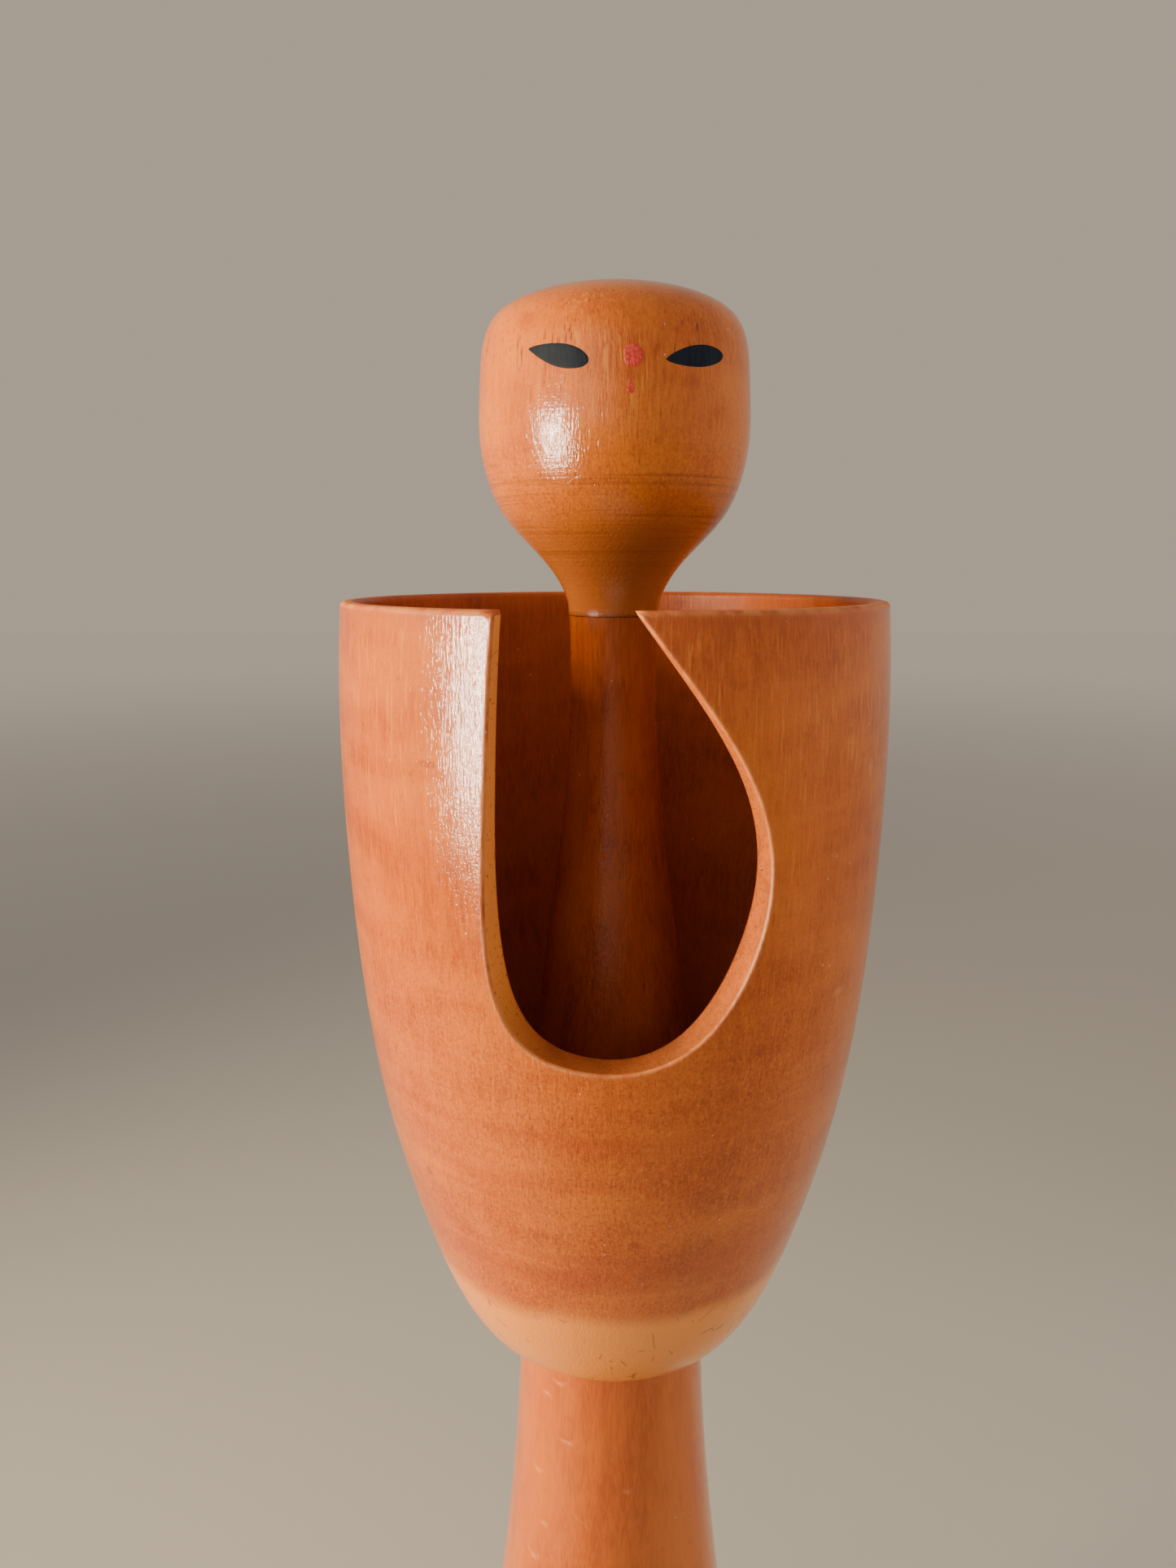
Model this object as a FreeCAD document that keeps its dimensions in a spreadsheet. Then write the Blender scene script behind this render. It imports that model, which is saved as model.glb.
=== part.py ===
import FreeCAD, Part
import os
import Sketcher
from FreeCAD import Vector

# A turned wooden doll: a rounded head that turns on a slender column, which stands inside a
# hollow robe cup with an open collar, on a flared pedestal. All sizes are in millimetres.
# Z is up, the face looks along -Y, and the underside of the pedestal is at Z = 0.

doc = FreeCAD.newDocument("TurnedDoll")
sheet = doc.addObject("Spreadsheet::Sheet", "Sizes")

# Driving dimensions. Each turned outline is steered by stations along the axis: a station has
# a radius and a height, and the lathe curve is pulled towards it.
HEIGHTS = {
    "seat_height": 137.6,     # top of the pedestal and underside of the cup
    "floor_height": 150.0,    # floor inside the cup, where the column stands
    "rim_height": 260.5,      # top edge of the cup
    "seam_height": 258.0,     # top of the column, just below the neck
    "crown_height": 306.3,    # top of the head
}
FITS = {
    "peg_radius": 3.5,        # dowel that the head turns on
    "peg_clearance": 0.05,    # between that dowel and its bore in the column
    "seam_gap": 0.1,          # between neck and column, so that the head turns freely
    "peg_in_head": 24.0,
    "peg_in_column": 18.0,
    "peg_end_space": 2.0,
    "core_radius": 5.0,       # dowel that holds column, cup and pedestal together
    "core_in_column": 20.0,
    "core_in_pedestal": 20.0,
}
STATIONS = {
    "head": [("crown_turn", 4.3, None), ("crown_side", 8.5, 305.6), ("brow", 19.9, 302.6),
             ("temple", 20.1, 291.8), ("cheek", 20.8, 283.2), ("jaw", 17.8, 272.7),
             ("chin", 10.8, 267.1), ("nape", 6.8, 261.1), ("neck_foot", 7.0, None)],
    "column": [("column_top", 6.9, None), ("column_waist", 6.2, 246.0), ("column_swell", 8.0, 222.0),
               ("column_flare", 13.5, 186.0), ("column_hip", 16.7, 162.0), ("column_foot", 18.3, None)],
    "cup_outside": [("rim", 41.7, None), ("shoulder", 42.5, 249.0), ("belly", 42.5, 229.0),
                    ("hip", 40.0, 193.0), ("calf", 33.9, 165.0), ("hem_turn", 23.6, None),
                    ("hem", 16.5, None)],
    "cup_inside": [("mouth", 39.2, None), ("inner_shoulder", 39.4, 250.0), ("inner_belly", 39.8, 234.0),
                   ("inner_hip", 34.4, 200.0), ("inner_calf", 32.0, 182.0), ("inner_turn", 22.8, None),
                   ("inner_floor", 18.6, None)],
    "pedestal": [("stem_top", 15.7, None), ("stem", 15.8, 122.4), ("ankle", 18.4, 92.0),
                 ("skirt", 25.0, 47.0), ("foot_side", 30.0, 17.0), ("foot", 32.0, 2.0)],
}
# The collar opening, drawn flat in front of the doll and cut straight towards the axis:
# distance to the side and height of each point that pulls its edge, from the left corner of
# the rim, down and round the bottom, and up the overlapping right side to the tip.
COLLAR = [("left_tip", -24.1, 262.0), ("left_neck", -25.6, 250.5), ("left_chest", -25.8, 239.5),
          ("left_pocket", -30.9, 205.2), ("bottom_left", -7.7, 198.6), ("bottom_right", 18.6, 200.7),
          ("right_pocket", 39.0, 225.0), ("right_chest", 21.5, 244.5), ("right_neck", 8.2, 255.2),
          ("right_tip", 0.9, 262.0)]
CUTS = {
    "drawing_reach": 60.0,    # from the axis to the plane that the collar is drawn on
    "axis_reach": 20.0,       # from the axis to where the collar's cut ends
    "cut_top": 275.0,
    "rim_round": 0.8,
    "foot_chamfer": 0.8,
}
values = {}
row = 0


def cell(name, value):
    """Write one driving dimension to the sheet."""
    global row
    row += 1
    sheet.set("A%d" % row, name)
    sheet.set("B%d" % row, "%g" % value)
    sheet.setAlias("B%d" % row, name)
    values[name] = value


for group in (HEIGHTS, FITS, CUTS):
    for name, value in group.items():
        cell(name, value)
for stations in STATIONS.values():
    for name, radius, height in stations:
        cell(name + "_radius", radius)
        if height is not None:
            cell(name + "_height", height)
for name, side, height in COLLAR:
    cell(name + "_side", side)
    cell(name + "_height", height)
doc.recompute()


def number(expression):
    """The value of an expression of sheet names."""
    total, sign = 0.0, 1.0
    for word in (expression or "").split():
        if word in "+-":
            sign = -1.0 if word == "-" else 1.0
        else:
            total += sign * values[word]
    return total


def ratio(scale):
    """The value of a scale such as "inner/outer", or 1 when there is none."""
    return values[scale.split("/")[0]] / values[scale.split("/")[1]] if scale else 1.0


def bound(expression):
    return " ".join(w if w in "+-" else "Sizes." + w for w in expression.split())


def new_body(name):
    body = doc.addObject("PartDesign::Body", name)
    body.Label = name
    return body


def new_sketch(body, plane, name, offset=0.0):
    """A sketch on one of the body's origin planes, moved along its normal by a sheet name."""
    sketch = body.newObject("Sketcher::SketchObject", name)
    origin_plane = [o for o in body.Origin.OriginFeatures if o.Role == plane][0]
    sketch.AttachmentSupport = [(origin_plane, "")]
    sketch.MapMode = "FlatFace"
    if offset:
        sketch.setExpression("AttachmentOffset.Base.z", bound(offset))
    return sketch


def pin(sketch, geo, point, across, up, scale=""):
    """Dimension one sketch point from the origin; across or up is None on that axis itself."""
    if across is None:
        sketch.addConstraint(Sketcher.Constraint("PointOnObject", geo, point, -2))
    else:
        i = sketch.addConstraint(
            Sketcher.Constraint("DistanceX", -1, 1, geo, point, number(across) * ratio(scale)))
        text = bound(across)
        if scale:
            text += " * Sizes." + scale.replace("/", " / Sizes.")
        sketch.setExpression("Constraints[%d]" % i, text)
    if up is None:
        sketch.addConstraint(Sketcher.Constraint("PointOnObject", geo, point, -1))
    else:
        i = sketch.addConstraint(Sketcher.Constraint("DistanceY", -1, 1, geo, point, number(up)))
        sketch.setExpression("Constraints[%d]" % i, bound(up))


def add_curve(sketch, poles, scale="", free_ends=False):
    """A smooth curve pulled towards its dimensioned poles; free ends are joined to others later."""
    factor = ratio(scale)
    places = [Vector(number(a) * factor, number(u), 0) for a, u in poles]
    spline = sketch.addGeometry(Part.BSplineCurve(places, None, None, False, 3, None, False))
    first = sketch.GeometryCount
    sketch.exposeInternalGeometry(spline)
    for n, (across, up) in enumerate(poles):
        if not (free_ends and n in (0, len(poles) - 1)):
            pin(sketch, first + n, 3, across, up, scale)
    return spline


def add_path(sketch, start, corners, end, scale=""):
    """Straight lines from the end of one curve, through the corners, to the start of another."""
    def spot(ref):
        p = sketch.getPoint(*ref)
        return Vector(p.x, p.y, 0)
    places = [spot(start)]
    places += [Vector(number(a) * ratio(scale), number(u), 0) for a, u in corners]
    places.append(spot(end))
    last = start
    for n in range(len(places) - 1):
        line = sketch.addGeometry(Part.LineSegment(places[n], places[n + 1]))
        sketch.addConstraint(Sketcher.Constraint("Coincident", last[0], last[1], line, 1))
        if n < len(corners):
            pin(sketch, line, 2, corners[n][0], corners[n][1], scale)
        last = (line, 2)
    sketch.addConstraint(Sketcher.Constraint("Coincident", last[0], last[1], end[0], end[1]))


def stations(group, ends):
    """The poles of a turned outline; ends gives the height of each station that has none."""
    return [(n + "_radius", n + "_height" if height is not None else ends[n])
            for n, _, height in STATIONS[group]]


def revolve(body, sketch, name):
    turned = body.newObject("PartDesign::Revolution", name)
    turned.Profile = sketch
    turned.ReferenceAxis = (sketch, ["V_Axis"])
    turned.Angle = 360.0
    return turned


# Head: one turned block with its neck, bored from below for the dowel it turns on.
def build_head():
    body = new_body("head")
    sketch = new_sketch(body, "XZ_Plane", "HeadOutline")
    under = "seam_height + seam_gap"
    outline = [(None, "crown_height")] + stations(
        "head", {"crown_turn": "crown_height", "neck_foot": under})
    curve = add_curve(sketch, outline)
    bore_top = under + " + peg_in_head"
    add_path(sketch, (curve, 2), [("peg_radius", under), ("peg_radius", bore_top), (None, bore_top)],
             (curve, 1))
    revolve(body, sketch, "TurnedHead")
    return body


# Neck dowel: glued into the head, and turning in the column.
def build_neck_dowel():
    body = new_body("neck_dowel")
    sketch = new_sketch(body, "XY_Plane", "DowelSection")
    ring = sketch.addGeometry(Part.Circle(Vector(0, 0, 0), Vector(0, 0, 1), values["peg_radius"]))
    sketch.addConstraint(Sketcher.Constraint("Coincident", ring, 3, -1, 1))
    i = sketch.addConstraint(Sketcher.Constraint("Radius", ring, values["peg_radius"]))
    sketch.setExpression("Constraints[%d]" % i, "Sizes.peg_radius")
    sketch.setExpression("AttachmentOffset.Base.z", "Sizes.seam_height - Sizes.peg_in_column")
    pad = body.newObject("PartDesign::Pad", "Dowel")
    pad.Profile = sketch
    pad.setExpression("Length", "Sizes.peg_in_column + Sizes.seam_gap + Sizes.peg_in_head")
    return body


# Column: slender at the neck, flared to the cup's floor, bored at both ends.
def build_column():
    body = new_body("inner_column")
    sketch = new_sketch(body, "XZ_Plane", "ColumnOutline")
    outline = stations("column", {"column_top": "seam_height", "column_foot": "floor_height"})
    curve = add_curve(sketch, outline)
    core_top = "floor_height + core_in_column"
    bore_floor = "seam_height - peg_in_column - peg_end_space"
    bore = "peg_radius + peg_clearance"
    add_path(sketch, (curve, 2),
             [("core_radius", "floor_height"), ("core_radius", core_top), (None, core_top),
              (None, bore_floor), (bore, bore_floor), (bore, "seam_height")], (curve, 1))
    revolve(body, sketch, "TurnedColumn")
    return body


# Robe cup: a hollow goblet with a hole in its floor and the collar cut through its wall.
def build_cup():
    body = new_body("robe_cup")
    sketch = new_sketch(body, "XZ_Plane", "CupWall")
    rim_side = "rim_height - rim_round"
    outside = add_curve(sketch, stations("cup_outside", {
        "rim": rim_side, "hem_turn": "seat_height", "hem": "seat_height"}))
    inside = add_curve(sketch, stations("cup_inside", {
        "mouth": rim_side, "inner_turn": "floor_height", "inner_floor": "floor_height"}))
    add_path(sketch, (outside, 2), [("core_radius", "seat_height"), ("core_radius", "floor_height")],
             (inside, 2))
    rim = add_curve(sketch, [("rim_radius", rim_side), ("rim_radius", "rim_height"),
                             ("mouth_radius", "rim_height"), ("mouth_radius", rim_side)],
                    free_ends=True)
    sketch.addConstraint(Sketcher.Constraint("Coincident", outside, 1, rim, 1))
    sketch.addConstraint(Sketcher.Constraint("Coincident", inside, 1, rim, 2))
    revolve(body, sketch, "TurnedCup")

    drawings = []
    for name, offset, scale in (("CollarDrawing", "drawing_reach", ""),
                                ("CollarAtAxis", "axis_reach", "axis_reach/drawing_reach")):
        sketch = new_sketch(body, "XZ_Plane", name, offset)
        edge = add_curve(sketch, [(n + "_side", n + "_height") for n, _, _ in COLLAR], scale)
        add_path(sketch, (edge, 2), [("right_tip_side", "cut_top"), ("left_tip_side", "cut_top")],
                 (edge, 1), scale)
        drawings.append(sketch)
    doc.recompute()
    before = body.Shape.Volume
    collar = body.newObject("PartDesign::SubtractiveLoft", "Collar")
    collar.Profile = drawings[0]
    collar.Sections = [drawings[1]]
    collar.Ruled = True
    doc.recompute()
    assert body.Shape.Volume < before - 1000.0, "the collar cuts nothing"

    return body


# Centre dowel: glued through the cup's floor, up into the column and down into the pedestal.
def build_centre_dowel():
    body = new_body("centre_dowel")
    sketch = new_sketch(body, "XY_Plane", "CoreSection")
    ring = sketch.addGeometry(Part.Circle(Vector(0, 0, 0), Vector(0, 0, 1), values["core_radius"]))
    sketch.addConstraint(Sketcher.Constraint("Coincident", ring, 3, -1, 1))
    i = sketch.addConstraint(Sketcher.Constraint("Radius", ring, values["core_radius"]))
    sketch.setExpression("Constraints[%d]" % i, "Sizes.core_radius")
    sketch.setExpression("AttachmentOffset.Base.z", "Sizes.seat_height - Sizes.core_in_pedestal")
    pad = body.newObject("PartDesign::Pad", "Core")
    pad.Profile = sketch
    pad.setExpression("Length", "Sizes.floor_height + Sizes.core_in_column"
                                " - Sizes.seat_height + Sizes.core_in_pedestal")
    return body


# Pedestal: a turned flare with a flat underside, bored from above for the centre dowel.
def build_pedestal():
    body = new_body("pedestal")
    sketch = new_sketch(body, "XZ_Plane", "PedestalOutline")
    curve = add_curve(sketch, stations("pedestal", {"stem_top": "seat_height"}))
    bore_floor = "seat_height - core_in_pedestal"
    add_path(sketch, (curve, 2), [("foot_radius - foot_chamfer", None), (None, None), (None, bore_floor),
                                  ("core_radius", bore_floor), ("core_radius", "seat_height")],
             (curve, 1))
    revolve(body, sketch, "TurnedPedestal")
    return body


bodies = [build_head(), build_neck_dowel(), build_column(), build_cup(), build_centre_dowel(),
          build_pedestal()]
doc.recompute()

for item in doc.Objects:
    assert "Invalid" not in item.State and "Error" not in item.State, item.Label
os.makedirs("parts", exist_ok=True)
for body in bodies:
    assert not body.Shape.isNull() and body.Shape.isValid(), body.Label
    body.Shape.exportStep("parts/%s.step" % body.Label)
    print(body.Label, round(body.Shape.Volume), body.Shape.BoundBox)
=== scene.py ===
import math
import random

import bmesh
import bpy
import numpy as np
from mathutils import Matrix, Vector
from mathutils.geometry import delaunay_2d_cdt


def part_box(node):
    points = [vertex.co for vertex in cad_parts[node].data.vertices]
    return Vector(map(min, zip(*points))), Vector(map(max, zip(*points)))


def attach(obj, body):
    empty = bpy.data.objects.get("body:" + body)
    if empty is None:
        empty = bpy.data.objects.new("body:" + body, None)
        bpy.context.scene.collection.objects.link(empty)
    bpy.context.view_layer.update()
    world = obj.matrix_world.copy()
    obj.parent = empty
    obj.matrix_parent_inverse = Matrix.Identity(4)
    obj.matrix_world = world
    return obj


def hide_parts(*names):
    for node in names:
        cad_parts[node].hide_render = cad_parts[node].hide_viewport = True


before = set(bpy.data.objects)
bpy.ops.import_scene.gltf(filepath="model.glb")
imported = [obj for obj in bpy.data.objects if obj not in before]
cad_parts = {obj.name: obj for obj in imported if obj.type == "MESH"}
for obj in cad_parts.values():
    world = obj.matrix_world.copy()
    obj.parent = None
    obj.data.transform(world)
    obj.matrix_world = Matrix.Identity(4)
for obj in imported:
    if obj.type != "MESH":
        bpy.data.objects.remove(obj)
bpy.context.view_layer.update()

# ---------------------------------------------------------------------------
# Viewpoint. The doll is looked at from just above the cup's rim, from a hand's
# length away, so the near rim is seen almost edge on and the collar from above.
EYE_HEIGHT = 0.267
EYE_DISTANCE = 0.185
EYE_SIDE = -0.0040
LOOK_DOWN = math.radians(10.94)

camera = bpy.data.objects.new("viewpoint", bpy.data.cameras.new("viewpoint"))
camera.data.sensor_width = 36.0
camera.data.lens = 27.03
camera.data.clip_start = 0.01
camera.location = (EYE_SIDE, -EYE_DISTANCE, EYE_HEIGHT)
camera.rotation_euler = (math.radians(90.0) - LOOK_DOWN, 0.0, 0.0)
bpy.context.scene.collection.objects.link(camera)
bpy.context.scene.camera = camera


# Studio. A tall window at the left front, a broad pale wall at the right and a
# dim even room; the doll stands on a pale floor, painted lighter far off where the lamps' light falls
# off.
BEAM = 105.0                 # degrees; keeps the floor under the lamps from glaring


def area_light(name, bearing, distance, middle, width, height, watts, colour, mirrored=True,
               lighting=True):
    """An area light on a bearing (degrees left of the front), aimed level at the doll's axis.
    One that isn't mirrored doesn't show in the wood's gloss; one that isn't lighting shows
    only there."""
    lamp = bpy.data.lights.new(name, "AREA")
    lamp.shape, lamp.size, lamp.size_y = "RECTANGLE", width, height
    lamp.energy, lamp.color = watts, colour
    lamp.spread = math.radians(BEAM)
    light = bpy.data.objects.new(name, lamp)
    a = math.radians(bearing)
    light.location = (-distance * math.sin(a), -distance * math.cos(a), middle)
    light.rotation_euler = (math.radians(90.0), 0.0, -a)
    light.visible_camera = False
    light.visible_glossy = mirrored
    light.visible_diffuse = lighting
    bpy.context.scene.collection.objects.link(light)


area_light("window_left", 52.0, 0.46, 0.218, 0.048, 0.21, 1.9, (1.0, 0.84, 0.66), lighting=False)
area_light("daylight_left", 82.0, 0.62, 0.29, 0.45, 0.48, 5.9, (1.0, 0.80, 0.46), mirrored=False)
area_light("wall_right", -92.0, 0.40, 0.21, 0.40, 0.38, 0.32, (1.0, 0.97, 1.0), mirrored=False)
area_light("room_right", -42.0, 0.70, 0.26, 0.40, 0.40, 0.04, (1.0, 0.90, 0.78), mirrored=False)
area_light("room_front", 28.0, 0.90, 0.55, 0.80, 0.55, 0.50, (1.0, 0.94, 0.86))

world = bpy.data.worlds.new("room")
bpy.context.scene.world = world
world.use_nodes = True
world.node_tree.nodes["Background"].inputs["Color"].default_value = (0.455, 0.380, 0.305, 1.0)
world.node_tree.nodes["Background"].inputs["Strength"].default_value = 1.0

REACH = 4.0                  # metres of floor each way
UNDER = -0.0001              # a hair under the doll's base, so that the two never lie in one plane
floor_mesh = bpy.data.meshes.new("floor")
floor_mesh.from_pydata([(-REACH, -REACH, UNDER), (REACH, -REACH, UNDER), (REACH, REACH, UNDER),
                        (-REACH, REACH, UNDER)], [], [(0, 1, 2, 3)])
floor = bpy.data.objects.new("floor", floor_mesh)
bpy.context.scene.collection.objects.link(floor)


def new_material(name):
    """A material, its node tree and its Principled shader."""
    material = bpy.data.materials.new(name)
    material.use_nodes = True
    tree = material.node_tree
    return material, tree, tree.nodes["Principled BSDF"]


def node(tree, kind, settings=None, **inputs):
    """Add a node, set its properties, and set or link its inputs: a socket links, a value sets,
    and i0, i1 and so on are inputs by number."""
    made = tree.nodes.new("ShaderNode" + kind)
    for key, value in (settings or {}).items():
        setattr(made, key, value)
    for key, value in inputs.items():
        key = key.replace("_", " ")
        socket = made.inputs[int(key[1:])] if key[0] == "i" and key[1:].isdigit() else made.inputs[key]
        if isinstance(value, bpy.types.NodeSocket):
            tree.links.new(value, socket)
        else:
            socket.default_value = value
    return made


def here(tree):
    """Object coordinates: metres from the middle of the doll's base."""
    return node(tree, "TexCoord").outputs["Object"]


def ramp_mask(tree, value, low, high):
    """0 below low, 1 above high and smooth between; low above high turns it round."""
    return node(tree, "MapRange", {"interpolation_type": "SMOOTHSTEP"}, Value=value,
                From_Min=low, From_Max=high).outputs[0]


def mix(tree, factor, a, b):
    """Mix two colours."""
    made = tree.nodes.new("ShaderNodeMix")
    made.data_type = "RGBA"
    made.clamp_factor = True
    for socket, value in ((made.inputs[0], factor), (made.inputs[6], a), (made.inputs[7], b)):
        if isinstance(value, bpy.types.NodeSocket):
            tree.links.new(value, socket)
        else:
            socket.default_value = value
    return made.outputs[2]


paint, tree, shader = new_material("pale floor paint")
# Painted light: the floor's paint goes from grey near the doll to white far off, making up for the lamps'
# light falling off with distance.
away = node(tree, "VectorMath", {"operation": "LENGTH"}, i0=here(tree)).outputs["Value"]
falloff_lift = ramp_mask(tree, away, 0.3, 3.0)
colour = mix(tree, falloff_lift, (0.47, 0.472, 0.480, 1.0), (0.97, 0.97, 0.97, 1.0))
tree.links.new(colour, shader.inputs["Base Color"])
shader.inputs["Roughness"].default_value = 0.65
floor_mesh.materials.append(paint)

# ---------------------------------------------------------------------------
# Head. One turned block of close-grained hardwood: a rounded-square head whose
# jaw runs in to a short neck. Stained honey orange and lacquered; it is bored
# from below for the dowel that it turns on.
MM = 0.001
NECK_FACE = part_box("head")[0].z
HEAD_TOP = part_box("head")[1].z
PEG_RADIUS = 3.5 * MM
PEG_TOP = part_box("neck_dowel")[1].z
WELD = 2e-6                  # points closer than this are one point
CREASE = math.radians(50.0)  # edges sharper than this aren't shaded smooth


def lathe_curve(poles, step=0.5 * MM):
    """Even points along the smooth curve that a turned outline follows between its poles."""
    poles = np.array(poles, float)
    n = len(poles)
    knots = np.concatenate([np.zeros(3), np.linspace(0.0, 1.0, n - 2), np.ones(3)])
    u = np.linspace(0.0, 1.0 - 1e-9, 1600)
    weights = [((knots[i] <= u) & (u < knots[i + 1])).astype(float) for i in range(n + 3)]
    for k in (1, 2, 3):
        def part(over, under, weight):
            return over / under * weight if under > 0.0 else 0.0 * weight
        weights = [part(u - knots[i], knots[i + k] - knots[i], weights[i])
                   + part(knots[i + k + 1] - u, knots[i + k + 1] - knots[i + 1], weights[i + 1])
                   for i in range(len(weights) - 1)]
    points = sum(w[:, None] * p for w, p in zip(weights, poles))
    return evenly(points, step)


def evenly(points, step):
    """The same line with its points spaced evenly, about a step apart."""
    points = np.array(points, float)
    along = np.concatenate([[0.0], np.cumsum(np.linalg.norm(np.diff(points, axis=0), axis=1))])
    count = max(2, int(round(along[-1] / step)) + 1)
    at = np.linspace(0.0, along[-1], count)
    return np.stack([np.interp(at, along, points[:, i]) for i in range(points.shape[1])], axis=1)


def new_piece(name, vertices, faces, materials, body, slot, finishes=None):
    """A smooth-shaded mesh object in the doll's frame that rides on a body. Finishes say which
    of the materials each face has, where there is more than one."""
    mesh = bpy.data.meshes.new(name)
    mesh.from_pydata([tuple(v) for v in vertices], [], faces)
    for material in materials:
        mesh.materials.append(material)
    if finishes:
        mesh.polygons.foreach_set("material_index", finishes)
    piece = bpy.data.objects.new(name, mesh)
    bpy.context.scene.collection.objects.link(piece)
    weld = bmesh.new()
    weld.from_mesh(mesh)
    bmesh.ops.remove_doubles(weld, verts=weld.verts, dist=WELD)
    bmesh.ops.recalc_face_normals(weld, faces=weld.faces)
    weld.to_mesh(mesh)
    weld.free()
    mesh.shade_smooth()
    mesh.set_sharp_from_angle(angle=CREASE)
    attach(piece, body)
    return piece


def turned(outline, around=240):
    """Vertices and faces of a surface turned from (radius, height) points, poles on the axis."""
    vertices, faces, rings = [], [], []
    for radius, height in outline:
        start = len(vertices)
        if radius < 1e-7:
            vertices.append((0.0, 0.0, height))
            rings.append([start] * around)
            continue
        for k in range(around):
            a = 2.0 * math.pi * k / around
            vertices.append((radius * math.sin(a), -radius * math.cos(a), height))
        rings.append(list(range(start, start + around)))
    for upper, lower in zip(rings, rings[1:]):
        for k in range(around):
            corners = [upper[k], upper[(k + 1) % around], lower[(k + 1) % around], lower[k]]
            corners = [c for i, c in enumerate(corners) if c not in corners[:i]]
            if len(corners) > 2:
                faces.append(corners)
    return vertices, faces


def add_group(name, inputs, outputs):
    """A shader node group with named inputs, float or vector, and named float outputs."""
    kinds = {"f": "NodeSocketFloat", "v": "NodeSocketVector"}
    group = bpy.data.node_groups.new(name, "ShaderNodeTree")
    for label, kind, value in inputs:
        socket = group.interface.new_socket(label, in_out="INPUT", socket_type=kinds[kind])
        socket.default_value = value
    for label in outputs:
        group.interface.new_socket(label, in_out="OUTPUT", socket_type=kinds["f"])
    return group, group.nodes.new("NodeGroupInput"), group.nodes.new("NodeGroupOutput")


def stretched(tree, place, across, along):
    """Object coordinates in units of a fibre's width across and its length along the axis."""
    scale = (1.0 / across, 1.0 / across, 1.0 / along)
    return node(tree, "VectorMath", {"operation": "MULTIPLY"}, i0=place, i1=scale).outputs[0]


def noise(tree, vector, detail=2.0, roughness=0.5, scale=1.0):
    made = node(tree, "TexNoise", {"noise_dimensions": "3D"}, Vector=vector, Scale=scale,
                Detail=detail, Roughness=roughness)
    return made.outputs[0]


def math_node(tree, operation, a, b=0.0):
    return node(tree, "Math", {"operation": operation}, i0=a, i1=b).outputs[0]


def times(tree, *factors):
    """The product of masks and amounts."""
    made = factors[0]
    for factor in factors[1:]:
        made = math_node(tree, "MULTIPLY", made, factor)
    return made


def plus(tree, *terms):
    """The sum of masks and amounts."""
    made = terms[0]
    for term in terms[1:]:
        made = math_node(tree, "ADD", made, term)
    return made


def seeded(tree, inputs):
    """Object coordinates shifted by a group's Seed, so that two pieces don't share their marks."""
    return node(tree, "VectorMath", {"operation": "ADD"}, i0=here(tree),
                i1=inputs.outputs["Seed"]).outputs[0]


def use_group(tree, group, **inputs):
    made = tree.nodes.new("ShaderNodeGroup")
    made.node_tree = group
    for key, value in inputs.items():
        socket = made.inputs[key.replace("_", " ")]
        if isinstance(value, bpy.types.NodeSocket):
            tree.links.new(value, socket)
        else:
            socket.default_value = value
    return made


# Close-grained wood: fibres that run up the block show as fine upright streaks on its sides
# and as specks where the tool cut across them; dark pores lie along them; faint rings are the
# marks of the turning tool.
GRAIN, g_in, g_out = add_group(
    "close grain",
    [("Pore amount", "f", 0.3), ("Ring amount", "f", 0.3), ("Seed", "v", (0.0, 0.0, 0.0))],
    ["Streaks", "Fleck", "Worn", "Rings", "Grains", "Height"])
t = GRAIN
place = seeded(t, g_in)
fine = noise(t, stretched(t, place, 0.00022, 0.0026), 2.0, 0.6)
medium = noise(t, stretched(t, place, 0.00044, 0.0036), 2.0, 0.6)
coarse = noise(t, stretched(t, place, 0.0018, 0.022), 2.0, 0.55)
broad = noise(t, stretched(t, place, 0.0046, 0.055), 2.0, 0.5)
streaks = plus(t, times(t, fine, 0.28), times(t, medium, 0.37), times(t, coarse, 0.20),
               times(t, broad, 0.15))
worn_fibres = ramp_mask(t, noise(t, stretched(t, place, 0.00050, 0.0066), 1.0, 0.5), 0.58, 0.68)
worn_areas = ramp_mask(t, noise(t, place, 2.0, 0.5, 42.0), 0.46, 0.60)
worn = times(t, worn_fibres, worn_areas)
pores = noise(t, stretched(t, place, 0.00042, 0.0030), 1.0, 0.5)
fleck = times(t, ramp_mask(t, pores, 0.665, 0.74), g_in.outputs["Pore amount"])
parts = node(t, "SeparateXYZ", Vector=place)
around = node(t, "CombineXYZ", X=times(t, parts.outputs[0], 9.0), Y=times(t, parts.outputs[1], 9.0),
              Z=times(t, parts.outputs[2], 2600.0)).outputs[0]
rings = math_node(t, "SUBTRACT", noise(t, around, 2.0, 0.65), 0.5)
rings = times(t, rings, g_in.outputs["Ring amount"])
grit = noise(t, place, 2.0, 0.6, 2400.0)
height = plus(t, times(t, medium, 0.40), times(t, fine, 0.28), times(t, grit, 0.30),
              times(t, rings, 0.55))
height = math_node(t, "SUBTRACT", height, times(t, fleck, 0.25))
t.links.new(worn, g_out.inputs["Worn"])
t.links.new(streaks, g_out.inputs["Streaks"])
t.links.new(fleck, g_out.inputs["Fleck"])
t.links.new(rings, g_out.inputs["Rings"])
t.links.new(noise(t, place, 2.0, 0.7, 2100.0), g_out.inputs["Grains"])
t.links.new(height, g_out.inputs["Height"])

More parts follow.
